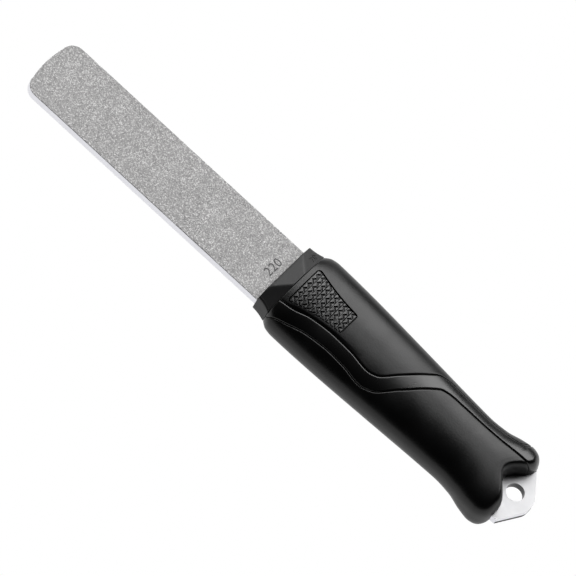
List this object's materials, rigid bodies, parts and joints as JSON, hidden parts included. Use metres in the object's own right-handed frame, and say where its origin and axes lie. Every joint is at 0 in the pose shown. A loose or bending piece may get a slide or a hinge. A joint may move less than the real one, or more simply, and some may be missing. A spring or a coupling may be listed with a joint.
{
  "type": "double-sided diamond sharpening file",
  "caption": "Flat two-faced diamond sharpening file with a full-tang steel plate, angle-guide collar, moulded grip handle and lanyard tail.",
  "frame": {"origin": "middle of the underside of the bounding box, with the file lying on the fine side of its handle", "axes": "+X along the file from the tip to the butt, +Y towards the thumb side of the handle, +Z out of the coarse face"},
  "size_m": [0.222, 0.0356, 0.0187],
  "materials": {
    "plate_steel": "satin, bright",
    "coarse_diamond": "matt nickel plating full of coarse diamond grit",
    "fine_diamond": "matt nickel plating full of fine diamond grit",
    "hard_plastic": "semi-gloss, lightly textured",
    "soft_grip": "soft-touch satin",
    "thumb_pad": "moulded scale texture",
    "pin_steel": "ground"
  },
  "bodies": {
    "root": {"steel_plate": "plate_steel", "coarse_diamond_face": "coarse_diamond", "fine_diamond_face": "fine_diamond", "angle_guide_collar": "hard_plastic", "front_core_shell": "hard_plastic", "back_core_shell": "hard_plastic", "palm_grip": "soft_grip", "thumb_grip": "soft_grip", "front_thumb_pad": "thumb_pad", "back_thumb_pad": "thumb_pad", "front_dowel_pin": "pin_steel", "middle_dowel_pin": "pin_steel", "rear_dowel_pin": "pin_steel"}
  },
  "joints": []
}
